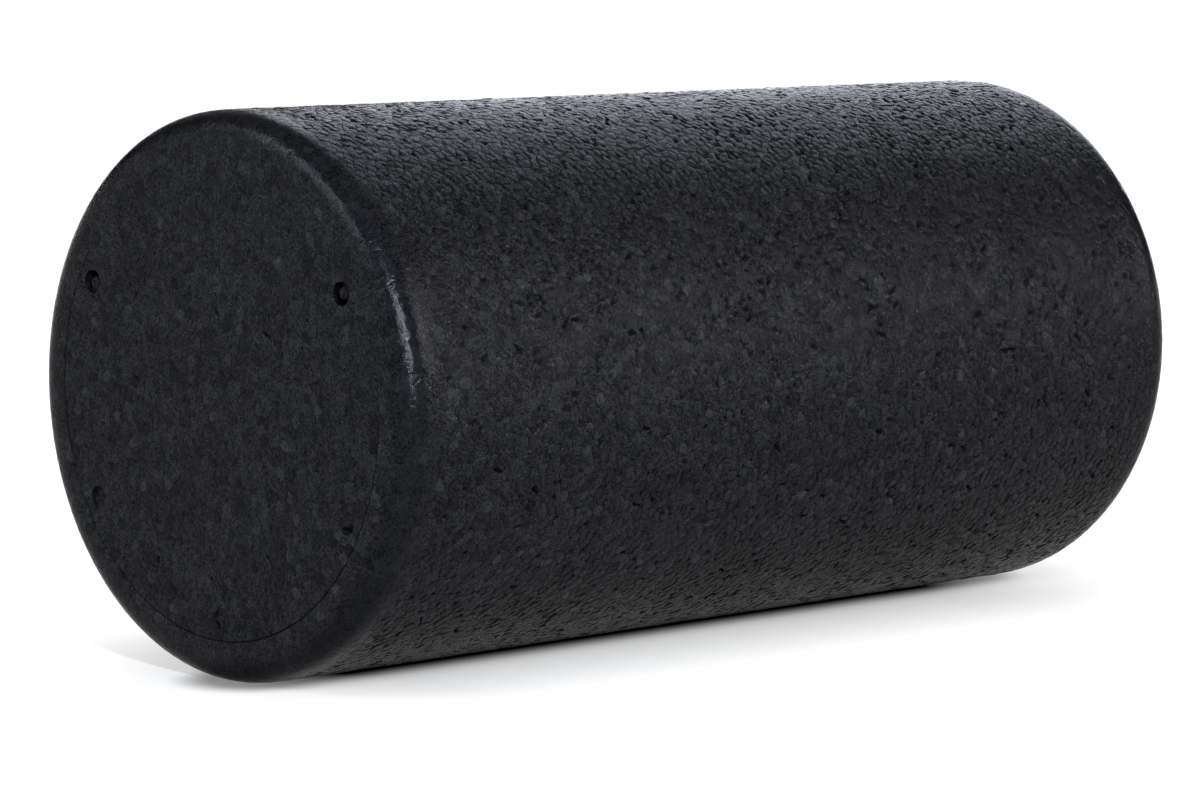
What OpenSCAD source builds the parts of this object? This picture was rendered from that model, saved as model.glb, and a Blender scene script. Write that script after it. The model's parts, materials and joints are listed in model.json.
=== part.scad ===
// Solid foam roller for massage and stretching.
// It is one steam-chest moulding of expanded polypropylene beads: no core, no cover and no end caps.
// The origin is the roller's centre, X runs along its axis and Z is up, with the roller lying on its side.

/* [Roller] */
// Outside diameter of the roller
roller_d = 152.4; // [90:0.1:200]
// Length of the roller from end face to end face
roller_len = 304.8; // [200:0.1:1000]
// Radius of the rounded edge where the side turns into an end face
edge_r = 7; // [2:0.5:10]

/* [Line left by the mould's end plate] */
// Diameter of the round line on each end face, as a part of the roller's diameter
plate_line_ratio = 0.847; // [0.8:0.001:0.87]
// Width of the line
plate_line_w = 0.6; // [0.3:0.1:1.2]
// Depth of the line
plate_line_depth = 0.5; // [0.2:0.1:1.5]

/* [Marks left by the end plate's screw heads] */
// Number of marks on each end face
mark_count = 6; // [3:1:8]
// Diameter of the circle of marks, as a part of the roller's diameter
mark_circle_ratio = 0.773; // [0.5:0.001:0.78]
// Turn of the circle of marks about the roller's axis, in degrees
mark_turn = 1.5; // [0:0.5:60]
// Outside diameter of a mark
mark_d = 6.5; // [4:0.1:8]
// Diameter of the boss that stands in the middle of a mark
boss_d = 3.6; // [2:0.1:3.8]
// Depth of an ordinary mark
mark_depth = 0.6; // [0.3:0.1:1.5]
// Depth of a mark where the beads did not fill the mould
deep_mark_depth = 3; // [1.5:0.1:5]

/* [Hidden] */
roller_r = roller_d / 2;
half_len = roller_len / 2;
plate_line_r = roller_r * plate_line_ratio;
mark_circle_r = roller_r * mark_circle_ratio;
mark_step = 360 / mark_count;
// Marks are counted anticlockwise on the near end, as seen from outside, from the one at the upper right.
near_deep_marks = [0, 2];
far_deep_marks = [];
// Cutting tools reach this far out of the face that they cut.
overcut = 1;
round_fn = 180;
mark_fn = 48;

// Half of the roller's outline: x is the radius and y runs along the axis.
module roller_profile() {
    square_y = half_len - edge_r;
    translate([0, -half_len])
        square([roller_r - edge_r, roller_len]);
    translate([0, -square_y])
        square([roller_r, 2 * square_y]);
    for (side = [-1, 1])
        translate([roller_r - edge_r, side * square_y])
            circle(edge_r, $fn = 96);
}

module roller_blank() {
    rotate([0, 90, 0])
        rotate_extrude($fn = round_fn)
            roller_profile();
}

// A ring-shaped cut from an end face at z = 0 down into the foam below it.
module ring_cut(outer_d, inner_d, depth, facets) {
    translate([0, 0, -depth])
        difference() {
            cylinder(d = outer_d, h = depth + overcut, $fn = facets);
            translate([0, 0, -overcut])
                cylinder(d = inner_d, h = depth + 3 * overcut, $fn = facets);
        }
}

// Everything that is cut into one end face, which lies at z = 0 with the foam below it.
module end_face_cuts(deep_marks) {
    ring_cut(2 * plate_line_r + plate_line_w, 2 * plate_line_r - plate_line_w, plate_line_depth, round_fn);
    for (i = [0 : mark_count - 1]) {
        is_deep = len(search(i, deep_marks)) > 0;
        rotate(mark_turn + (i + 0.5) * mark_step)
            translate([mark_circle_r, 0, 0])
                ring_cut(mark_d, boss_d, is_deep ? deep_mark_depth : mark_depth, mark_fn);
    }
}

// Puts its children, made on the plane z = 0, on the near end face, seen from outside with Z up.
module on_near_end() {
    translate([-half_len, 0, 0])
        rotate([90, 0, -90])
            children();
}

module foam_body() {
    color([0.06, 0.06, 0.07])
        difference() {
            roller_blank();
            on_near_end()
                end_face_cuts(near_deep_marks);
            mirror([1, 0, 0])
                on_near_end()
                    end_face_cuts(far_deep_marks);
        }
}

foam_body();
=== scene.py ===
"""A solid bead-foam massage roller lying on its side.

The CAD body gives the size. Its plain solid is replaced by one closed mesh of the moulding's skin: the fused
foam beads with the grooves and pits between them, the line that the mould's end plate leaves on each end, and
the marks of the screw heads that hold that plate. Lengths in the mesh code are in millimetres.
"""

import json
import math
from types import SimpleNamespace

import bpy
import numpy as np
from mathutils import Matrix, Vector
from mathutils.geometry import delaunay_2d_cdt

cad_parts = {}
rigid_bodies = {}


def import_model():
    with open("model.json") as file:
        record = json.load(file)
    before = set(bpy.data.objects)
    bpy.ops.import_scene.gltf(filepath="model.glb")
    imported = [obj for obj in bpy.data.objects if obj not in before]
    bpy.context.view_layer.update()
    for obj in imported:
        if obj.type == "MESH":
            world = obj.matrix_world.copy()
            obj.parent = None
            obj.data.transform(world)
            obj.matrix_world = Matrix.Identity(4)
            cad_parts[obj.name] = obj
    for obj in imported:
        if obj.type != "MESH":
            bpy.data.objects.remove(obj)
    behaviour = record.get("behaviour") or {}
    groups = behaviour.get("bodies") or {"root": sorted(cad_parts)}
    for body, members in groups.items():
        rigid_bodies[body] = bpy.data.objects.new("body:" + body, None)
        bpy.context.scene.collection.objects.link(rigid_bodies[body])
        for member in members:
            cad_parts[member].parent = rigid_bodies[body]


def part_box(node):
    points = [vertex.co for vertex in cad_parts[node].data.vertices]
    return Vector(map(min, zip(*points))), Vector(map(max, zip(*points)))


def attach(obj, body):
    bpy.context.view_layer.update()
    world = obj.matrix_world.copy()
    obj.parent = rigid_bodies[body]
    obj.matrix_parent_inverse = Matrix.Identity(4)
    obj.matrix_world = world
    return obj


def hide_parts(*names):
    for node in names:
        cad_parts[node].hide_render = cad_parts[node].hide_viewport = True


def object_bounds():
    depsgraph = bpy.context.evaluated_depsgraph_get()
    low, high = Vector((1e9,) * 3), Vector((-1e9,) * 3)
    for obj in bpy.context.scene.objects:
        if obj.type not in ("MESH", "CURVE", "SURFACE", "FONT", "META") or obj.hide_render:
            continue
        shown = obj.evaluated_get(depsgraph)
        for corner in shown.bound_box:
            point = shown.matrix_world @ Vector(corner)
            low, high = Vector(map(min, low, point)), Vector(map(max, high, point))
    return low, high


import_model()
cad_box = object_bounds()
rng = np.random.default_rng(7)

# ---------------------------------------------------------------- dimensions, in millimetres

MM = 0.001
HALF_LEN, _, RADIUS = np.array(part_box("foam_body")[1]) / MM
GIRTH = 2 * math.pi * RADIUS

# The rounded edge's profile, as points spaced evenly along its arc from the side to the end. It starts
# turning softly and is tightest in its middle.
EDGE_ARC = 18.5
EDGE_STEPS = 400
EDGE_SOFTNESS = 0.16
EDGE_AT = np.linspace(0, EDGE_ARC, EDGE_STEPS + 1)
EDGE_TURN = math.pi / 2 * (EDGE_AT / EDGE_ARC - EDGE_SOFTNESS * np.sin(2 * math.pi * EDGE_AT / EDGE_ARC))
EDGE_ALONG = (np.cumsum(np.cos(EDGE_TURN)) - 1) * EDGE_ARC / EDGE_STEPS
EDGE_IN = np.cumsum(np.sin(EDGE_TURN)) * EDGE_ARC / EDGE_STEPS
EDGE_R = EDGE_ALONG[-1]
SIDE_HALF = HALF_LEN - EDGE_R

# The line of the mould's end plate. The disc of beads inside it is one patch of the skin.
LINE_R = 0.847 * RADIUS
LINE_W = 0.3
LINE_DEPTH = 0.35
DISC_R = LINE_R - LINE_W / 2
# The strip runs from one end's line, over the rounded edge, the side and the other edge, to the other line.
STRIP_HALF = SIDE_HALF + EDGE_ARC + RADIUS - EDGE_R - LINE_R - LINE_W / 2

# The marks of the screw heads: a ring-shaped moat round a boss.
MARKS = 6
MARK_CIRCLE_R = 0.773 * RADIUS
MARK_TURN = math.radians(1.5)
MARK_R = 3.25
MARK_LIP = 0.12  # depth of a mark's rim
MARK_TONE = -0.3
BOSS_R = 1.7
BOSS_SHIFT = 0.35  # how far a boss lies from its mark's middle when the moat is deep
DEEP_MOAT = 1.5
MARK_STEPS = 28

# The packing of the beads.
BEAD = 2.8  # usual distance between the middles of two beads
JITTER = 0.27 * BEAD
LEFT_OUT = 0.07  # share of the beads left out, which makes their neighbours larger
EDGE_CLEAR = 0.3 * BEAD  # how far a bead's middle stays from the edge of its patch
COLLAR_BEADS = 11  # beads in a ring round each mark
COLLAR_OUT = 0.38 * BEAD
COLLAR_CLEAR = 0.9 * BEAD
GHOST_REACH = 2.2 * BEAD  # how far from an edge the beads are mirrored in it
GHOST_LIMIT = 1.85  # in radii: the images of beads farther out would crowd the circle's middle
SHORTEST_EDGE = 0.16  # the ends of a shorter edge become one corner
MERGE_ROUNDS = 5  # passes along a chain of such edges

# The gaps between the beads.
GROOVE_HALF = 0.13
GROOVE_DEPTH = 0.26
EDGE_GROOVE_DEPTH = 0.7 * GROOVE_DEPTH  # a groove is shallower between corners
PIT_DEPTH = 1.7
CRACK_DEPTH = 0.75 * PIT_DEPTH

# The polish on the rounded edges reaches this far from the end and from the side, and fades over part of it.
POLISH_FROM_END, POLISH_FADE_ALONG = 16, 13
POLISH_FROM_SIDE, POLISH_FADE_IN = 10, 8

# ---------------------------------------------------------------- random fields


def smoothstep(value, low, high):
    """0 up to low, 1 from high on, and a smooth rise between them."""
    t = np.clip((value - low) / (high - low), 0, 1)
    return t * t * (3 - 2 * t)


def ripple(points, length, waves=20):
    """Smooth random values, mostly between -1 and 1, that change over about the given length."""
    total = np.zeros(len(points))
    for _ in range(waves):
        direction = rng.normal(size=3)
        direction *= 2 * math.pi / length * rng.uniform(0.6, 1.4) / np.linalg.norm(direction)
        total += np.cos(points @ direction + rng.uniform(0, 2 * math.pi))
    return total / math.sqrt(waves)


# ---------------------------------------------------------------- bead outlines on a flat patch


def jittered_lattice(width, height):
    """Bead middles over a rectangle from (0, -height / 2): a disordered six-sided packing."""
    columns = round(width / BEAD)
    rows = round(height / (BEAD * math.sqrt(3) / 2))
    row = np.arange(rows)[:, None] + np.zeros(columns)
    x = (np.arange(columns) + 0.5 * (row % 2)) * width / columns
    y = (row + 0.5) * height / rows - height / 2
    sites = np.stack([x.ravel(), y.ravel()], 1)
    return sites + rng.normal(0, JITTER, sites.shape)


def strip_with_ghosts(sites):
    """The strip's sites, copied across its seam and mirrored in its two long edges."""
    points, names = [sites], [np.arange(len(sites))]
    for shift in (-GIRTH, GIRTH):
        moved = sites + (shift, 0)
        near = (moved[:, 0] > -GHOST_REACH) & (moved[:, 0] < GIRTH + GHOST_REACH)
        points.append(moved[near])
        names.append(names[0][near])
    points, names = np.concatenate(points), np.concatenate(names)
    all_points, all_names, edges = [points], [names], [np.zeros(len(points), int)]
    for edge, line in enumerate((-STRIP_HALF, STRIP_HALF), 1):
        near = np.abs(points[:, 1] - line) < GHOST_REACH
        all_points.append(points[near] * (1, -1) + (0, 2 * line))
        all_names.append(names[near] + edge * len(sites))
        edges.append(np.full(near.sum(), edge))
    return np.concatenate(all_points), np.concatenate(all_names), np.concatenate(edges)


def mark_centres():
    """The marks' middles on an end, anticlockwise from the upper right as the end is seen from outside."""
    turn = MARK_TURN + np.radians(360 / MARKS * (np.arange(MARKS) + 0.5))
    return MARK_CIRCLE_R * np.stack([np.cos(turn), np.sin(turn)], 1)


DISC_CIRCLES = [(np.zeros(2), DISC_R)] + [(centre, MARK_R) for centre in mark_centres()]


def disc_with_ghosts(sites):
    """The disc's sites, mirrored in its outer circle and in the circle of each mark."""
    points, names, edges = [sites], [np.arange(len(sites))], [np.zeros(len(sites), int)]
    for edge, (centre, radius) in enumerate(DISC_CIRCLES, 1):
        offset = sites - centre
        distance = np.linalg.norm(offset, axis=1)
        near = (np.abs(distance - radius) < GHOST_REACH) & (distance < GHOST_LIMIT * radius)
        points.append(centre + offset[near] * (2 * radius / distance[near] - 1)[:, None])
        names.append(np.flatnonzero(near) + edge * len(sites))
        edges.append(np.full(near.sum(), edge))
    return np.concatenate(points), np.concatenate(names), np.concatenate(edges)


def circumcentres(points, triangles):
    """The middle of the circle through each triangle's corners."""
    a, b, c = (points[triangles[:, i]] for i in range(3))
    ab, ac = b - a, c - a
    ab_sq, ac_sq = (ab**2).sum(1), (ac**2).sum(1)
    double = 2 * (ab[:, 0] * ac[:, 1] - ab[:, 1] * ac[:, 0])
    x = (ac[:, 1] * ab_sq - ab[:, 1] * ac_sq) / double
    y = (ab[:, 0] * ac_sq - ac[:, 0] * ab_sq) / double
    return a + np.stack([x, y], 1)


def ring_order(bead, total):
    """Where each bead's ring starts in a list sorted by bead, and which entry comes after each one."""
    count = np.bincount(bead, minlength=total)
    first = np.cumsum(count) - count
    after = np.arange(len(bead)) + 1
    after[first + count - 1] = first
    return first, after


def merged(corner, after, at, total):
    """The corner that stands for each corner once those at the ends of very short edges are one."""
    short = np.linalg.norm(at[after] - at, axis=1) < SHORTEST_EDGE
    a, b = corner[short], corner[after[short]]
    stands_for = np.arange(total)
    for _ in range(MERGE_ROUNDS):
        lowest = np.minimum(stands_for[a], stands_for[b])
        np.minimum.at(stands_for, a, lowest)
        np.minimum.at(stands_for, b, lowest)
    return stands_for


def outlines(sites, with_ghosts, period=None):
    """The outline of the bead round each site, as one anticlockwise ring of shared corners a bead.

    Each entry of bead and corner is one corner of one bead. after holds the next entry round the same bead,
    and first each bead's first entry. edge says which edge of the patch a corner is on, with 0 for none.
    """
    points, names, edges = with_ghosts(sites)
    triangles = np.array(delaunay_2d_cdt([Vector(p) for p in points.tolist()], [], [], 0, 1e-7)[2])
    triangles = triangles[(triangles < len(sites)).any(1)]
    _, first_seen, shared = np.unique(
        np.sort(names[triangles], axis=1), axis=0, return_index=True, return_inverse=True
    )
    corners = circumcentres(points, triangles)[first_seen]
    edge = edges[triangles].max(1)[first_seen]

    def local(bead, corner):
        """Where corners lie, on the same side of the seam as their beads."""
        at = corners[corner].copy()
        if period:
            at[:, 0] += period * np.round((sites[bead, 0] - at[:, 0]) / period)
        return at

    bead, corner = triangles.ravel(), np.repeat(shared.ravel(), 3)
    real = bead < len(sites)
    bead, corner = bead[real], corner[real]
    away = local(bead, corner) - sites[bead]
    order = np.lexsort((np.arctan2(away[:, 1], away[:, 0]), bead))
    bead, corner = bead[order], corner[order]

    # The shortest edges are taken out of the rings.
    _, after = ring_order(bead, len(sites))
    stands_for = merged(corner, after, local(bead, corner), len(corners))
    np.maximum.at(edge, stands_for, edge)
    corner = stands_for[corner]
    kept = corner != corner[after]
    bead = bead[kept]
    used, corner = np.unique(corner[kept], return_inverse=True)
    corners, edge = corners[used], edge[used]
    first, after = ring_order(bead, len(sites))
    return SimpleNamespace(
        sites=sites,
        corners=corners,
        edge=edge,
        bead=bead,
        corner=corner,
        first=first,
        after=after,
        local=local,
    )


def centroids(ring):
    """The middle of each bead's area."""
    at = ring.local(ring.bead, ring.corner) - ring.sites[ring.bead]
    after = at[ring.after]
    cross = at[:, 0] * after[:, 1] - at[:, 1] * after[:, 0]
    area = np.add.reduceat(cross, ring.first) / 2
    moment = np.add.reduceat((at + after) * cross[:, None], ring.first) / 6
    return ring.sites + moment / area[:, None]


def relaxed(sites, with_ghosts, period, rounds):
    """Sites moved to the middles of their beads, which evens the packing out."""
    for _ in range(rounds):
        sites = centroids(outlines(sites, with_ghosts, period))
    return sites


def strip_sites():
    """The beads' middles on the strip, which closes on itself round the roller."""
    sites = jittered_lattice(GIRTH, 2 * STRIP_HALF)
    sites[:, 0] %= GIRTH
    sites = sites[np.abs(sites[:, 1]) < STRIP_HALF - EDGE_CLEAR]
    sites = sites[rng.random(len(sites)) > LEFT_OUT]
    return relaxed(sites, strip_with_ghosts, GIRTH, 1)


def disc_sites():
    """The beads' middles on a disc, with a ring of beads round each mark."""
    sites = jittered_lattice(2 * RADIUS, 2 * RADIUS) - (RADIUS, 0)
    clear = np.linalg.norm(sites, axis=1) < DISC_R - EDGE_CLEAR
    clear &= rng.random(len(sites)) > LEFT_OUT
    collars = []
    for centre, radius in DISC_CIRCLES[1:]:
        clear &= np.linalg.norm(sites - centre, axis=1) > radius + COLLAR_CLEAR
        turn = 2 * math.pi / COLLAR_BEADS * (np.arange(COLLAR_BEADS) + rng.uniform(-0.2, 0.2, COLLAR_BEADS))
        reach = radius + COLLAR_OUT
        collars.append(centre + reach * np.stack([np.cos(turn), np.sin(turn)], 1))
    return relaxed(np.concatenate([sites[clear]] + collars), disc_with_ghosts, None, 2)


# ---------------------------------------------------------------- from a patch to the roller


def on_strip(a, b, height):
    """a runs round the roller from the top towards -Y, b along it, and height out of the surface."""
    past_side = np.abs(b) - SIDE_HALF
    turn, along, inward = (np.interp(past_side, EDGE_AT, part) for part in (EDGE_TURN, EDGE_ALONG, EDGE_IN))
    flat = np.maximum(past_side - EDGE_ARC, 0)
    radius = RADIUS - inward + height * np.cos(turn) - flat
    x = np.sign(b) * (np.minimum(np.abs(b), SIDE_HALF) + along + height * np.sin(turn))
    return np.stack([x, -radius * np.sin(a / RADIUS), radius * np.cos(a / RADIUS)], 1)


def on_end(side):
    """For the end at side -1 or 1: a runs right and b up, as the end is seen from outside."""

    def place(a, b, height):
        return np.stack([side * (HALF_LEN + height), side * a, b + 0 * height], 1)

    return place


# The layout of the UV map: the strip below and the two discs side by side above it.
UV_GAP = 3.0
UV_SIDE = max(GIRTH + 4 * UV_GAP, 2 * STRIP_HALF + 2 * DISC_R + 4 * UV_GAP)
STRIP_UV = (2 * UV_GAP, STRIP_HALF + UV_GAP)
DISC_UV = {
    -1: (DISC_R + 2 * UV_GAP, 2 * STRIP_HALF + DISC_R + 3 * UV_GAP),
    1: (3 * DISC_R + 4 * UV_GAP, 2 * STRIP_HALF + DISC_R + 3 * UV_GAP),
}


def polish(points):
    """1 on the rounded edges, which are moulded smooth and get rubbed, and 0 farther along the side or in."""
    from_end = HALF_LEN - np.abs(points[:, 0])
    from_side = RADIUS - np.linalg.norm(points[:, 1:], axis=1)
    along = smoothstep(POLISH_FROM_END - from_end, 0, POLISH_FADE_ALONG)
    return along * smoothstep(POLISH_FROM_SIDE - from_side, 0, POLISH_FADE_IN)


class Skin:
    """Collects the points and triangles of one closed mesh."""

    def __init__(self):
        self.points, self.tone, self.cavity, self.triangles, self.uvs = [], [], [], [], []
        self.count = 0

    def add_points(self, points, tone, cavity):
        """Adds points, and returns their numbers. cavity is how much painted shade they get."""
        start = self.count
        self.count += len(points)
        self.points.append(points)
        self.tone.append(np.zeros(len(points)) + tone)
        self.cavity.append(np.zeros(len(points)) + cavity)
        return np.arange(start, self.count)

    def add_triangles(self, corners, flat, shift):
        """corners holds three point numbers a row, and flat where each lies on its patch."""
        self.triangles.append(np.stack(corners, 1))
        self.uvs.append((np.stack(flat, 1) + shift) / UV_SIDE)

    def as_mesh(self, name):
        """The finished mesh, with its UV map, its attributes for the material and its normals."""
        mesh = bpy.data.meshes.new(name)
        triangles = np.concatenate(self.triangles)
        mesh.vertices.add(self.count)
        mesh.vertices.foreach_set("co", (np.concatenate(self.points) * MM).ravel())
        mesh.loops.add(triangles.size)
        mesh.loops.foreach_set("vertex_index", triangles.ravel())
        mesh.polygons.add(len(triangles))
        mesh.polygons.foreach_set("loop_start", np.arange(0, triangles.size, 3))
        mesh.polygons.foreach_set("use_smooth", np.ones(len(triangles), bool))
        mesh.uv_layers.new(name="OFBake").uv.foreach_set("vector", np.concatenate(self.uvs).ravel())
        for label, values in (
            ("tone", np.concatenate(self.tone)),
            ("cavity", np.concatenate(self.cavity)),
            ("polish", polish(np.concatenate(self.points))),
        ):
            mesh.attributes.new(label, "FLOAT", "POINT").data.foreach_set("value", values)
        mesh.update(calc_edges=True)
        mesh.normals_split_custom_set_from_vertices(self.normals(triangles))
        return mesh

    def normals(self, triangles):
        """Each point's normal. Large triangles count for more, so the bead tops look flat."""
        points = np.concatenate(self.points)
        a, b, c = (points[triangles[:, k]] for k in range(3))
        facing = np.cross(b - a, c - a)
        total = np.zeros_like(points)
        for k in range(3):
            for axis in range(3):
                total[:, axis] += np.bincount(triangles[:, k], facing[:, axis], self.count)
        return total / np.linalg.norm(total, axis=1)[:, None]


# ---------------------------------------------------------------- beads

# A pit is the gap at a corner between beads. Its size goes from 0, where the beads meet, to 1.
PIT_SIZES = (0.2, 0.85)
PIT_BEND = 1.4  # above 1, so that small pits are the common ones
CRACK_SHARE = 0.13  # how many of the edges beside pits are open cracks
CRACK_NEEDS = 0.4  # the least that the pits at a crack's ends add up to
CRACK_LEAVES = 0.4  # the least pit that a crack leaves at each end

# Where the points inside an outline lie: their distance from a corner along its edge, as the distance with no
# pit and what a full pit adds, and how far the shoulders lie inward. Neither goes past its share of the way.
SHOULDER_ALONG = (0.22, 0.5)
GROOVE_ALONG = (0.12, 0.6)
ALONG_LIMIT = 0.42
PIT_INSET = 0.55
CRACK_INSET = 0.22
INSET_LIMIT = 0.55

# How the beads differ. The shoulders lie lower than the crown by a fixed drop.
SHOULDER_DROP = 0.09
CROWN_SPREAD = 0.02
LEAN_SPREAD = 0.05
TONE_SPREAD = 0.5
PALE_SHARE, PALE_TONE = 0.035, 1.8
CLOUD_LENGTH, CLOUD_TONE = 24, 0.15


def open_gaps(ring, pit_rate):
    """The pit at each corner, and the edges between corners.

    An edge inside the patch belongs to two beads, so it is settled once. A few edges are open cracks.
    """
    pit = (rng.random(len(pit_rate)) < pit_rate) * rng.uniform(*PIT_SIZES, len(pit_rate)) ** PIT_BEND
    other = ring.corner[ring.after]
    low, high = np.minimum(ring.corner, other), np.maximum(ring.corner, other)
    _, seen, shared, uses = np.unique(
        low * len(pit) + high, return_index=True, return_inverse=True, return_counts=True
    )
    start, end = ring.corner[seen], other[seen]
    crack = (rng.random(len(seen)) < CRACK_SHARE) * (pit[start] + pit[end] > CRACK_NEEDS)
    for corner in (start, end):
        np.maximum.at(pit, corner, CRACK_LEAVES * crack)
    patch_edge = np.where(uses == 1, ring.edge[start], 0)
    pit[ring.edge > 0] = 0
    edges = SimpleNamespace(
        seen=seen,
        shared=shared.ravel(),
        start=start,
        end=end,
        crack=crack,
        patch_edge=patch_edge,
    )
    return pit, edges


def edge_shade(depth):
    """The shade painted into a patch's own edge at a depth."""
    return np.clip(2.5 * depth, 0, 0.8)


def add_beads(skin, ring, place, uv_shift, look, edge_depth):
    """Adds one patch of beads, and returns the numbers, edges and places of the points along its edges.

    look(points) gives the pit rate and the relief at points of the roller's surface. edge_depth(points) gives
    how deep the patch's own edge lies there. Names with here belong to one corner of a bead's outline, and
    names with there to the next corner round the bead.
    """
    surface = place(*ring.corners.T, np.zeros(len(ring.corners)))
    pit_rate, relief = look(surface)
    pit, edges = open_gaps(ring, pit_rate)
    seen, shared, start, end, crack = edges.seen, edges.shared, edges.start, edges.end, edges.crack

    corner_there = ring.corner[ring.after]
    here_at = ring.local(ring.bead, ring.corner)
    there_at = here_at[ring.after]
    centre_at = ring.sites[ring.bead]
    length = np.linalg.norm(there_at - here_at, axis=1)
    pit_here, pit_there = pit[ring.corner], pit[corner_there]

    def along(pits, reach, grow):
        """How far from a corner, as a part of its edge, a point lies: farther where the corner is a pit."""
        return np.minimum((reach + grow * pits) / length, ALONG_LIMIT)[:, None]

    def shoulder(near, far, pits):
        """A point of the bead's inner ring: along the edge from a corner, then in towards the middle."""
        point = near + (far - near) * along(pits, *SHOULDER_ALONG)
        inward = centre_at - point
        distance = np.linalg.norm(inward, axis=1)
        inset = GROOVE_HALF + PIT_INSET * pits + CRACK_INSET * crack[shared]
        return point + inward * np.minimum(inset / distance, INSET_LIMIT)[:, None]

    shoulder_here = shoulder(here_at, there_at, pit_here)
    shoulder_there = shoulder(there_at, here_at, pit_there)
    groove_here = here_at + (there_at - here_at) * along(pit_here, *GROOVE_ALONG)
    groove_there = there_at + (here_at - there_at) * along(pit_there, *GROOVE_ALONG)

    # Every bead has its own tone, level and lean.
    beads = len(ring.sites)
    bead_surface = place(*ring.sites.T, np.zeros(beads))
    bead_relief = look(bead_surface)[1]
    tone = rng.normal(0, TONE_SPREAD, beads) + PALE_TONE * (rng.random(beads) < PALE_SHARE)
    tone = tone + CLOUD_TONE * ripple(bead_surface, CLOUD_LENGTH)
    crown = rng.normal(0, CROWN_SPREAD, beads)
    lean = rng.normal(0, LEAN_SPREAD, (beads, 2))
    level = (crown - SHOULDER_DROP)[ring.bead]
    edge_lies = edge_depth(surface)

    def shoulder_height(at):
        return (level + ((at - centre_at) * lean[ring.bead]).sum(1)) * bead_relief[ring.bead]

    # The corners, where up to three beads meet. Their cavity values are painted shade, more in deep grooves
    # and pits.
    corner_ids = skin.add_points(
        place(*ring.corners.T, np.where(ring.edge > 0, -edge_lies, -GROOVE_DEPTH * relief - PIT_DEPTH * pit)),
        0,
        np.where(ring.edge > 0, edge_shade(edge_lies), np.minimum(0.54 * relief + 1.6 * pit, 1)),
    )

    # Two points in the groove along each edge, shared by the beads on both sides. Their cavity values are
    # painted shade in the groove and in cracks.
    edge_relief = (relief[start] + relief[end]) / 2
    groove_ids = []
    for at, corner in ((groove_here[seen], start), (groove_there[seen], end)):
        groove = -EDGE_GROOVE_DEPTH * edge_relief - CRACK_DEPTH * crack
        height = np.where(edges.patch_edge > 0, -edge_lies[corner], groove)
        inner_shade = 0.48 * edge_relief + 0.7 * crack
        cavity = np.where(edges.patch_edge > 0, edge_shade(edge_lies[corner]), inner_shade)
        groove_ids.append(skin.add_points(place(*at.T, height), 0, cavity))
    same_way = ring.corner == start[shared]
    groove_here_ids = np.where(same_way, groove_ids[0][shared], groove_ids[1][shared])
    groove_there_ids = np.where(same_way, groove_ids[1][shared], groove_ids[0][shared])

    # The bead's own points: its shoulders and its crown. The shoulders get a little painted shade beside
    # pits.
    shoulder_ids = [
        skin.add_points(place(*at.T, shoulder_height(at)), tone[ring.bead], 0.04 + 0.1 * pits)
        for at, pits in ((shoulder_here, pit_here), (shoulder_there, pit_there))
    ]
    crown_ids = skin.add_points(place(*ring.sites.T, crown * bead_relief), tone, 0)

    here, there = (corner_ids[ring.corner], here_at), (corner_ids[corner_there], there_at)
    near_here, near_there = (groove_here_ids, groove_here), (groove_there_ids, groove_there)
    inner_here, inner_there = (shoulder_ids[0], shoulder_here), (shoulder_ids[1], shoulder_there)
    inner_next = (shoulder_ids[0][ring.after], shoulder_here[ring.after])
    middle = (crown_ids[ring.bead], centre_at)
    for fan in (
        (here, near_here, inner_here),
        (near_here, near_there, inner_there),
        (near_here, inner_there, inner_here),
        (near_there, there, inner_there),
        (there, inner_next, inner_there),
        (inner_here, inner_there, middle),
        (inner_there, inner_next, middle),
    ):
        skin.add_triangles([numbers for numbers, _ in fan], [at for _, at in fan], uv_shift)

    rim = edges.patch_edge > 0
    rim_corner = np.unique([start[rim], end[rim]])
    return SimpleNamespace(
        ids=np.concatenate([corner_ids[rim_corner], groove_ids[0][rim], groove_ids[1][rim]]),
        edge=np.concatenate([ring.edge[rim_corner], edges.patch_edge[rim], edges.patch_edge[rim]]),
        at=np.concatenate([ring.corners[rim_corner], groove_here[seen][rim], groove_there[seen][rim]]),
    )


# ---------------------------------------------------------------- joining rings


def bridge(skin, outer, inner, centre, uv_shift):
    """Triangles between two rings of (numbers, places), both anticlockwise round centre on one patch."""
    rings = []
    for numbers, at in (outer, inner):
        angle = np.arctan2(*(at - centre).T[::-1])
        order = np.argsort(angle)
        angle = np.append(angle[order], angle[order[0]] + 2 * math.pi)
        closed = np.append(order, order[0])
        rings.append((numbers[closed], at[closed], angle))
    (out_id, out_at, out_angle), (in_id, in_at, in_angle) = rings
    corners, flat = [], []
    i = j = 0
    while i < len(out_id) - 1 or j < len(in_id) - 1:
        step_out = j == len(in_id) - 1 or (i < len(out_id) - 1 and out_angle[i + 1] <= in_angle[j + 1])
        if step_out:
            corners.append((out_id[i], out_id[i + 1], in_id[j]))
            flat.append((out_at[i], out_at[i + 1], in_at[j]))
            i += 1
        else:
            corners.append((out_id[i], in_id[j + 1], in_id[j]))
            flat.append((out_at[i], in_at[j + 1], in_at[j]))
            j += 1
    corners, flat = np.array(corners), np.array(flat)
    skin.add_triangles(list(corners.T), [flat[:, k] for k in range(3)], uv_shift)


# Each mark, anticlockwise from the upper right as its end is seen from outside: its depth all round, how much
# deeper it is on its open side, that side's direction in degrees, how narrow it is, and its boss's drop.
NEAR_MARKS = [
    (0.9, 2.6, 200, 1.5, 0.25),
    (0.1, 0.1, 90, 1.5, 0.0),
    (0.5, 2.2, 150, 1.5, 0.3),
    (0.18, 0.7, 160, 2, 0.12),
    (0.2, 0.5, 190, 2, 0.12),
    (0.08, 1.3, 285, 5, 0.03),
]
FAR_MARKS = [(0.2, 0.4, 360 / MARKS * number, 2, 0.1) for number in range(MARKS)]


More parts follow.
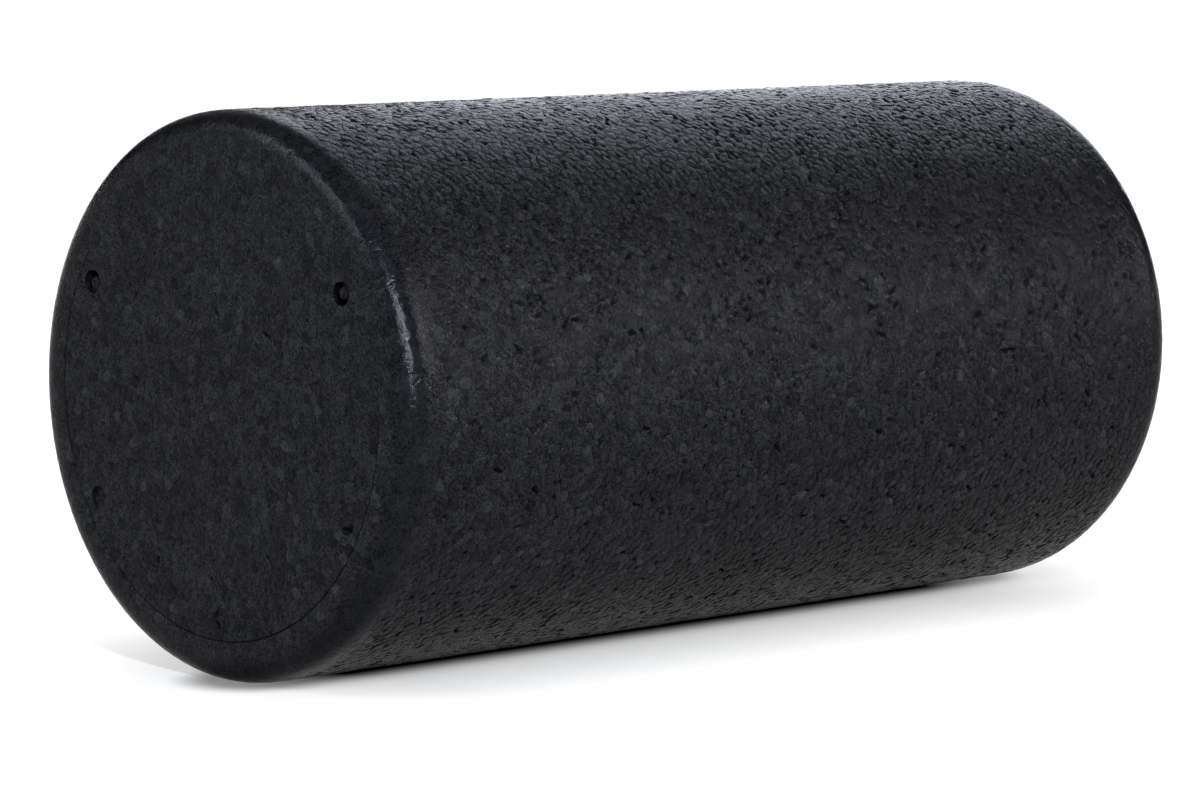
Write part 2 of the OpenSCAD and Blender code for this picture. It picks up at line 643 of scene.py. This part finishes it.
def add_mark(skin, place, rim, centre, mark, uv_shift):
    """Fills a mark's hole: a moat that is deepest on its open side, and the boss inside it."""
    depth_all, depth_more, open_side, narrow, boss_drop = mark
    turn = np.linspace(0, 2 * math.pi, MARK_STEPS, endpoint=False)
    facing = 0.5 + 0.5 * np.cos(turn - math.radians(open_side))
    uneven = 1 + 0.5 * np.sin(3 * turn + rng.uniform(0, 6)) * np.sin(2 * turn + rng.uniform(0, 6))
    depth = (depth_all + depth_more * facing**narrow) * uneven
    to_open = np.array([math.cos(math.radians(open_side)), math.sin(math.radians(open_side))])
    # The boss lies away from the open side.
    shift = -BOSS_SHIFT * min(depth_more, DEEP_MOAT) / DEEP_MOAT * to_open
    wobble = rng.normal(0, 0.05, MARK_STEPS)
    # How much shade is painted into the moat: more where it is deeper.
    dark = np.clip(depth / 1.2, 0.15, 1)
    # From the rim inward: each ring's radius, how far it goes with the boss, its depth and its painted shade.
    rings = (
        (MARK_R - 0.14, 0, 0.85 * depth, dark),
        (0.5 * (MARK_R + BOSS_R), 0.6, depth + wobble, dark),
        (BOSS_R + 0.12, 1, 0.8 * depth, dark),
        (BOSS_R - 0.1, 1, boss_drop + 0.15 + 0.1 * dark, 0.3 * dark),
        (0.55 * BOSS_R, 1, boss_drop + wobble, 0),
    )
    outside = rim
    for radius, shifted, below, shade in rings:
        at = centre + shifted * shift + radius * np.stack([np.cos(turn), np.sin(turn)], 1)
        ids = skin.add_points(place(*at.T, 0 * turn - below), MARK_TONE, shade)
        bridge(skin, outside, (ids, at), centre, uv_shift)
        outside = (ids, at)
    middle = (centre + shift)[None]
    middle_id = skin.add_points(place(*middle.T, np.array([-boss_drop])), MARK_TONE, 0)
    ids, at = outside
    corners = [ids, np.roll(ids, -1), np.repeat(middle_id, MARK_STEPS)]
    flat = [at, np.roll(at, -1, axis=0), np.repeat(middle, MARK_STEPS, axis=0)]
    skin.add_triangles(corners, flat, uv_shift)


# ---------------------------------------------------------------- the roller

# The share of corners that are pits where they are commonest, and how much of a bead's full height is left.
SIDE_PIT_RATE = 0.33
EDGE_RELIEF = 0.15
END_PIT_RATE = 0.012
END_RELIEF = 0.55


def side_look(points):
    """Pits are fewer near the ends, lower down and in the near half. Near the ends the beads are flatter."""
    from_end = HALF_LEN - np.abs(points[:, 0])
    inside = smoothstep(from_end, 7, 21)
    towards_far = 0.55 + 0.45 * smoothstep(points[:, 0], -HALF_LEN, 0)
    towards_top = 0.4 + 0.6 * smoothstep(points[:, 2], -10, 60)
    patches = np.clip(1 + 0.4 * ripple(points, 45), 0.3, 2.2)
    pit_rate = SIDE_PIT_RATE * inside * towards_far * towards_top * patches
    relief = EDGE_RELIEF + (1 - EDGE_RELIEF) * smoothstep(from_end, 3, 14)
    return pit_rate, relief


def end_look(points):
    """The end is the same all over: hardly any pits, and beads pressed rather flat."""
    return np.full(len(points), END_PIT_RATE), np.full(len(points), END_RELIEF)


def line_depth(points):
    """The end plate's line is sharp low down and almost closed at the top."""
    lower = 0.5 - 0.5 * points[:, 2] / LINE_R
    return LINE_DEPTH * np.clip(lower + 0.3 * ripple(points, 60), 0.08, 1)


def to_strip_line(ring):
    """Puts the corners of each long edge exactly on its line."""
    for edge, line in enumerate((-STRIP_HALF, STRIP_HALF), 1):
        ring.corners[ring.edge == edge, 1] = line


def to_disc_circles(ring):
    """Puts the corners of each round edge exactly on its circle."""
    for edge, (centre, radius) in enumerate(DISC_CIRCLES, 1):
        here = ring.edge == edge
        offset = ring.corners[here] - centre
        ring.corners[here] = centre + offset * (radius / np.linalg.norm(offset, axis=1))[:, None]


def disc_edge_depth(side):
    """How deep the disc's edges lie: the end plate's line, and the rims of the marks."""
    place = on_end(side)
    marks = place(*mark_centres().T, np.zeros(MARKS))

    def depth(points):
        to_mark = np.linalg.norm(points[:, None] - marks, axis=2).min(1)
        return np.where(to_mark < MARK_R + 1, MARK_LIP, line_depth(points))

    return depth


def build_skin():
    """The whole skin as one closed mesh: the strip, both discs, the lines that join them, and the marks."""
    skin = Skin()
    ring = outlines(strip_sites(), strip_with_ghosts, GIRTH)
    to_strip_line(ring)
    strip_rim = add_beads(skin, ring, on_strip, STRIP_UV, side_look, line_depth)
    for edge, side, marks in ((1, -1, NEAR_MARKS), (2, 1, FAR_MARKS)):
        place, uv_shift = on_end(side), DISC_UV[side]
        ring = outlines(disc_sites(), disc_with_ghosts)
        to_disc_circles(ring)
        rim = add_beads(skin, ring, place, uv_shift, end_look, disc_edge_depth(side))
        here = strip_rim.edge == edge
        turn = strip_rim.at[here, 0] / RADIUS
        line_at = (LINE_R + LINE_W / 2) * np.stack([-side * np.sin(turn), np.cos(turn)], 1)
        outer = strip_rim.ids[here], line_at
        inner = rim.ids[rim.edge == 1], rim.at[rim.edge == 1]
        bridge(skin, outer, inner, np.zeros(2), uv_shift)
        for number, mark in enumerate(marks, 2):
            centre = DISC_CIRCLES[number - 1][0]
            mark_rim = rim.ids[rim.edge == number], rim.at[rim.edge == number]
            add_mark(skin, place, mark_rim, centre, mark, uv_shift)
    return skin.as_mesh("foam_skin")


# ---------------------------------------------------------------- material


class Nodes:
    """Short forms for building a node tree."""

    def __init__(self, tree):
        self.tree = tree
        tree.nodes.clear()

    def add(self, kind, **settings):
        node = self.tree.nodes.new("ShaderNode" + kind)
        for key, value in settings.items():
            setattr(node, key, value)
        return node

    def link(self, source, target):
        self.tree.links.new(source, target)

    def put(self, socket, value):
        """Links a socket or sets a plain value."""
        if isinstance(value, bpy.types.NodeSocket):
            self.link(value, socket)
        else:
            socket.default_value = value

    def attribute(self, name):
        return self.add("Attribute", attribute_name=name).outputs["Fac"]

    def maths(self, operation, a, b, c=0.0, clamp=False):
        node = self.add("Math", operation=operation, use_clamp=clamp)
        for socket, value in zip(node.inputs, (a, b, c)):
            self.put(socket, value)
        return node.outputs[0]

    def noise(self, vector, size, detail, roughness):
        """Noise around 0.5 whose features are about size metres across."""
        node = self.add("TexNoise")
        self.link(vector, node.inputs["Vector"])
        node.inputs["Scale"].default_value = 1 / size
        node.inputs["Detail"].default_value = detail
        node.inputs["Roughness"].default_value = roughness
        return node.outputs["Fac"]

    def mix(self, factor, a, b):
        node = self.add("Mix", data_type="RGBA")
        self.put(node.inputs["Factor"], factor)
        self.put(node.inputs["A"], a)
        self.put(node.inputs["B"], b)
        return node.outputs["Result"]


BEAD_DARK = (0.0003, 0.0003, 0.0004, 1)
BEAD_LIGHT = (0.0112, 0.0115, 0.0136, 1)
PIT_SHADE_COLOUR = (0.0002, 0.0002, 0.0003, 1)
DEEP_FROM, DEEP_TO = 0.2, 0.52  # the cavity values over which the painted shade of grooves, pits and marks comes in
RUBBED = 0.62  # how much of the unevenness the polish takes away

# The usual place between the two greys, and what a bead's tone and the mottle add to it.
LIGHTNESS = 0.16
TONE_LIGHTNESS, MOTTLE_LIGHTNESS = 0.14, 1.8

# The usual roughness, and what patches, a bead's tone, a cavity and the polish add to it.
ROUGHNESS = 0.24
PATCH_ROUGHNESS, TONE_ROUGHNESS, CAVITY_ROUGHNESS, POLISH_ROUGHNESS = 0.28, -0.05, 0.4, -0.07
SPECULAR = 0.031
SPECULAR_TINT = (0.85, 0.92, 1.0, 1)

# The sizes of the noises' features, and of the bumps, in metres.
MOTTLE_SIZE = 0.0007
PATCH_SIZE = 0.001
WRINKLE_SIZE = 0.00045
WRINKLE_HEIGHT = 0.00025


def bead_foam():
    """Black bead foam with a satin skin. The mesh's attributes say where it is pale, where shade is painted
    into its grooves, pits and marks, and where it is polished.
    """
    material = bpy.data.materials.new("bead_foam")
    material.use_nodes = True
    nodes = Nodes(material.node_tree)
    place = nodes.add("TexCoord").outputs["Object"]
    cavity, polished = nodes.attribute("cavity"), nodes.attribute("polish")

    # The rounded edges are even: their beads' own tones, mottle and wrinkles are rubbed down.
    uneven = nodes.maths("MULTIPLY_ADD", polished, -RUBBED, 1.0)
    tone = nodes.maths("MULTIPLY", nodes.attribute("tone"), uneven)

    # Colour: each bead has its own grey, finely mottled, and shade is painted into the grooves, pits and
    # marks, down to near black.
    mottle = nodes.maths("SUBTRACT", nodes.noise(place, MOTTLE_SIZE, 2, 0.8), 0.5)
    mottle = nodes.maths("MULTIPLY", mottle, uneven)
    lightness = nodes.maths("MULTIPLY_ADD", tone, TONE_LIGHTNESS, LIGHTNESS)
    lightness = nodes.maths("MULTIPLY_ADD", mottle, MOTTLE_LIGHTNESS, lightness, clamp=True)
    skin_colour = nodes.mix(lightness, BEAD_DARK, BEAD_LIGHT)
    # Painted shade: the higher the cavity value, the nearer the colour goes to near black.
    deep = nodes.add("MapRange", interpolation_type="SMOOTHSTEP")
    nodes.link(cavity, deep.inputs["Value"])
    deep.inputs["From Min"].default_value = DEEP_FROM
    deep.inputs["From Max"].default_value = DEEP_TO
    colour = nodes.mix(deep.outputs["Result"], skin_colour, PIT_SHADE_COLOUR)

    # Roughness: a satin skin, duller in the grooves and a little glossier on pale beads and rounded edges.
    patchy = nodes.maths("SUBTRACT", nodes.noise(place, PATCH_SIZE, 3, 0.7), 0.5)
    patchy = nodes.maths("MULTIPLY", patchy, uneven)
    roughness = nodes.maths("MULTIPLY_ADD", patchy, PATCH_ROUGHNESS, ROUGHNESS)
    roughness = nodes.maths("MULTIPLY_ADD", tone, TONE_ROUGHNESS, roughness)
    roughness = nodes.maths("MULTIPLY_ADD", cavity, CAVITY_ROUGHNESS, roughness)
    roughness = nodes.maths("MULTIPLY_ADD", polished, POLISH_ROUGHNESS, roughness, clamp=True)

    # Bumps: the fine wrinkles of each bead's skin.
    fine = nodes.noise(place, WRINKLE_SIZE, 2, 0.6)
    bump = nodes.add("Bump")
    nodes.link(uneven, bump.inputs["Strength"])
    bump.inputs["Distance"].default_value = WRINKLE_HEIGHT
    nodes.link(fine, bump.inputs["Height"])

    shader = nodes.add("BsdfPrincipled")
    nodes.link(colour, shader.inputs["Base Color"])
    nodes.link(roughness, shader.inputs["Roughness"])
    nodes.link(bump.outputs["Normal"], shader.inputs["Normal"])
    shader.inputs["Specular IOR Level"].default_value = SPECULAR
    shader.inputs["Specular Tint"].default_value = SPECULAR_TINT
    nodes.link(shader.outputs["BSDF"], nodes.add("OutputMaterial").inputs["Surface"])
    return material


# ---------------------------------------------------------------- floor, light and camera

FLOOR_HALF = 15.0  # in metres

# The shadow painted on the floor, by distance from the roller's line of contact, in millimetres: where the
# white begins and where it is full, and the same for the glow farther out, which is counted from a shorter
# line.
WHITE_FROM, WHITE_FULL = 10, 24
GLOW_LINE_HALF = 100
GLOW_FROM, GLOW_FULL = 20, 105
NEAR_GLOW, FAR_GLOW = 0.3, 0.75


def from_line(nodes, half):
    """How far a point of the floor is from a line under the roller, half millimetres long each way."""
    away = nodes.add("VectorMath", operation="ABSOLUTE")
    nodes.link(nodes.add("TexCoord").outputs["Object"], away.inputs[0])
    beyond = nodes.add("VectorMath", operation="SUBTRACT")
    nodes.link(away.outputs[0], beyond.inputs[0])
    beyond.inputs[1].default_value = (half * MM, 0, 1)  # the floor's own height is left out
    outside = nodes.add("VectorMath", operation="MAXIMUM")
    nodes.link(beyond.outputs[0], outside.inputs[0])
    distance = nodes.add("VectorMath", operation="LENGTH")
    nodes.link(outside.outputs[0], distance.inputs[0])
    return distance.outputs["Value"]


def rise(nodes, distance, start, end, height, shape):
    """0 up to the start, and then a rise to the height at the end, both in millimetres."""
    node = nodes.add("MapRange", interpolation_type=shape)
    nodes.link(distance, node.inputs["Value"])
    node.inputs["From Min"].default_value = start * MM
    node.inputs["From Max"].default_value = end * MM
    node.inputs["To Max"].default_value = height
    return node.outputs["Result"]


def floor_material():
    """A white floor that also glows evenly, with a shadow painted in: no glow and no lit colour under the
    roller, and less glow round it.
    """
    material = bpy.data.materials.new("pale_floor_painted_shadow")
    material.use_nodes = True
    nodes = Nodes(material.node_tree)
    # Painted shadow: the glow fades out near the roller, sharply at the contact line and softly farther out.
    past_painted_contact_shadow = rise(nodes, from_line(nodes, SIDE_HALF), WHITE_FROM, WHITE_FULL, 1, "SMOOTHSTEP")
    glow_past_painted_shadow = rise(nodes, from_line(nodes, GLOW_LINE_HALF), GLOW_FROM, GLOW_FULL, FAR_GLOW, "LINEAR")
    glow = nodes.maths("MULTIPLY_ADD", past_painted_contact_shadow, NEAR_GLOW, glow_past_painted_shadow)
    shader = nodes.add("BsdfPrincipled")
    # Painted contact shadow: the floor's lit colour goes to black under the roller.
    nodes.link(nodes.mix(past_painted_contact_shadow, (0, 0, 0, 1), (0.1, 0.1, 0.1, 1)), shader.inputs["Base Color"])
    shader.inputs["Roughness"].default_value = 1.0
    shader.inputs["Specular IOR Level"].default_value = 0.0
    shader.inputs["Emission Color"].default_value = (1, 1, 1, 1)
    nodes.link(glow, shader.inputs["Emission Strength"])
    nodes.link(shader.outputs["BSDF"], nodes.add("OutputMaterial").inputs["Surface"])
    return material


def make_floor():
    """A flat floor that the roller lies on."""
    height = cad_box[0][2]
    mesh = bpy.data.meshes.new("floor")
    corners = [(x * FLOOR_HALF, y * FLOOR_HALF, height) for x, y in ((-1, -1), (1, -1), (1, 1), (-1, 1))]
    mesh.from_pydata(corners, [], [(0, 1, 2, 3)])
    floor = bpy.data.objects.new("floor", mesh)
    bpy.context.scene.collection.objects.link(floor)
    mesh.materials.append(floor_material())


def make_world():
    """A dark studio that is white up to just above the horizon and a little paler overhead."""
    world = bpy.data.worlds.new("studio")
    bpy.context.scene.world = world
    world.use_nodes = True
    nodes = Nodes(world.node_tree)
    split = nodes.add("SeparateXYZ")
    nodes.link(nodes.add("TexCoord").outputs["Generated"], split.inputs[0])
    ramp = nodes.add("ValToRGB")
    nodes.link(split.outputs["Z"], ramp.inputs[0])
    # From the horizon at 0 to straight up at 1: white, dark, dark and a little paler.
    stops = ramp.color_ramp.elements
    stops[0].position, stops[0].color = 0.055, (1, 1, 1, 1)
    stops[1].position, stops[1].color = 0.7, (0.04, 0.04, 0.042, 1)
    for position in (0.065, 0.35):
        dark = stops.new(position)
        dark.color = (0.002, 0.002, 0.002, 1)
    background = nodes.add("Background")
    background.inputs["Strength"].default_value = 3.0
    nodes.link(ramp.outputs["Color"], background.inputs["Color"])
    nodes.link(background.outputs[0], nodes.add("OutputWorld").inputs["Surface"])


def direction(azimuth, elevation):
    """The way out from the roller's middle at two angles in degrees. Azimuth goes from +X towards +Y."""
    azimuth, elevation = math.radians(azimuth), math.radians(elevation)
    level = math.cos(elevation)
    return Vector((level * math.cos(azimuth), level * math.sin(azimuth), math.sin(elevation)))


def make_softbox(name, azimuth, elevation, distance, size, radiance, colour=(1, 1, 1), lean=0):
    """A rectangle of light that faces the roller's middle and leans by turning in its own plane."""
    away = direction(azimuth, elevation)
    lamp = bpy.data.lights.new(name, "AREA")
    lamp.shape = "RECTANGLE"
    lamp.size, lamp.size_y = size
    lamp.energy = radiance * math.pi * size[0] * size[1]
    lamp.color = colour
    softbox = bpy.data.objects.new(name, lamp)
    softbox.visible_camera = False
    facing = away.to_track_quat("Z", "Y").to_matrix().to_4x4() @ Matrix.Rotation(math.radians(lean), 4, "Z")
    softbox.matrix_world = Matrix.Translation(away * distance) @ facing
    bpy.context.scene.collection.objects.link(softbox)


# Where the camera is, and how far it is moved left and down, in metres. Its angles are in degrees.
CAMERA_AZIMUTH, CAMERA_ELEVATION, CAMERA_DISTANCE = -134.31, 6.01, 1.3537
CAMERA_LEFT, CAMERA_DOWN = 0.0077, 0.0114
LENS, SENSOR = 141.93, 36  # in millimetres


def make_camera():
    """The main view: the near end from the front left, a little from above."""
    back = direction(CAMERA_AZIMUTH, CAMERA_ELEVATION)
    right = Vector((0, 0, 1)).cross(back).normalized()
    up = back.cross(right)
    data = bpy.data.cameras.new("camera")
    data.lens, data.sensor_width = LENS, SENSOR
    data.clip_start, data.clip_end = 0.05, 60
    camera = bpy.data.objects.new("camera", data)
    turned = Matrix((right, up, back)).transposed().to_4x4()
    place = back * CAMERA_DISTANCE - right * CAMERA_LEFT - up * CAMERA_DOWN
    camera.matrix_world = Matrix.Translation(place) @ turned
    bpy.context.scene.collection.objects.link(camera)
    bpy.context.scene.camera = camera


make_camera()
skin_mesh = build_skin()
skin_mesh.materials.append(bead_foam())
roller = bpy.data.objects.new("foam_skin", skin_mesh)
bpy.context.scene.collection.objects.link(roller)
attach(roller, "root")
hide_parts("foam_body")
make_floor()
make_world()
make_softbox("softbox_front_right", -50, 20.7, 1.22, (0.15, 0.3), 142, (1.03, 1.0, 0.95))
make_softbox("softbox_right", -8, 36, 1.3, (0.75, 0.3), 0.22)
make_softbox("softbox_back", 32.5, 20.8, 1.52, (0.98, 0.97), 3.4, (0.91, 0.96, 1.08))
make_softbox("softbox_back_left", 64, 20, 1.4, (0.75, 0.9), 0.32)
make_softbox("softbox_left", 160, 28, 1.0, (0.6, 0.13), 47, (0.97, 0.99, 1.03))
make_softbox("strip_front_left", -126, 21, 1.0, (0.025, 0.35), 1500, (0.95, 0.98, 1.04), lean=38)
bpy.context.scene.view_settings.view_transform = "Standard"
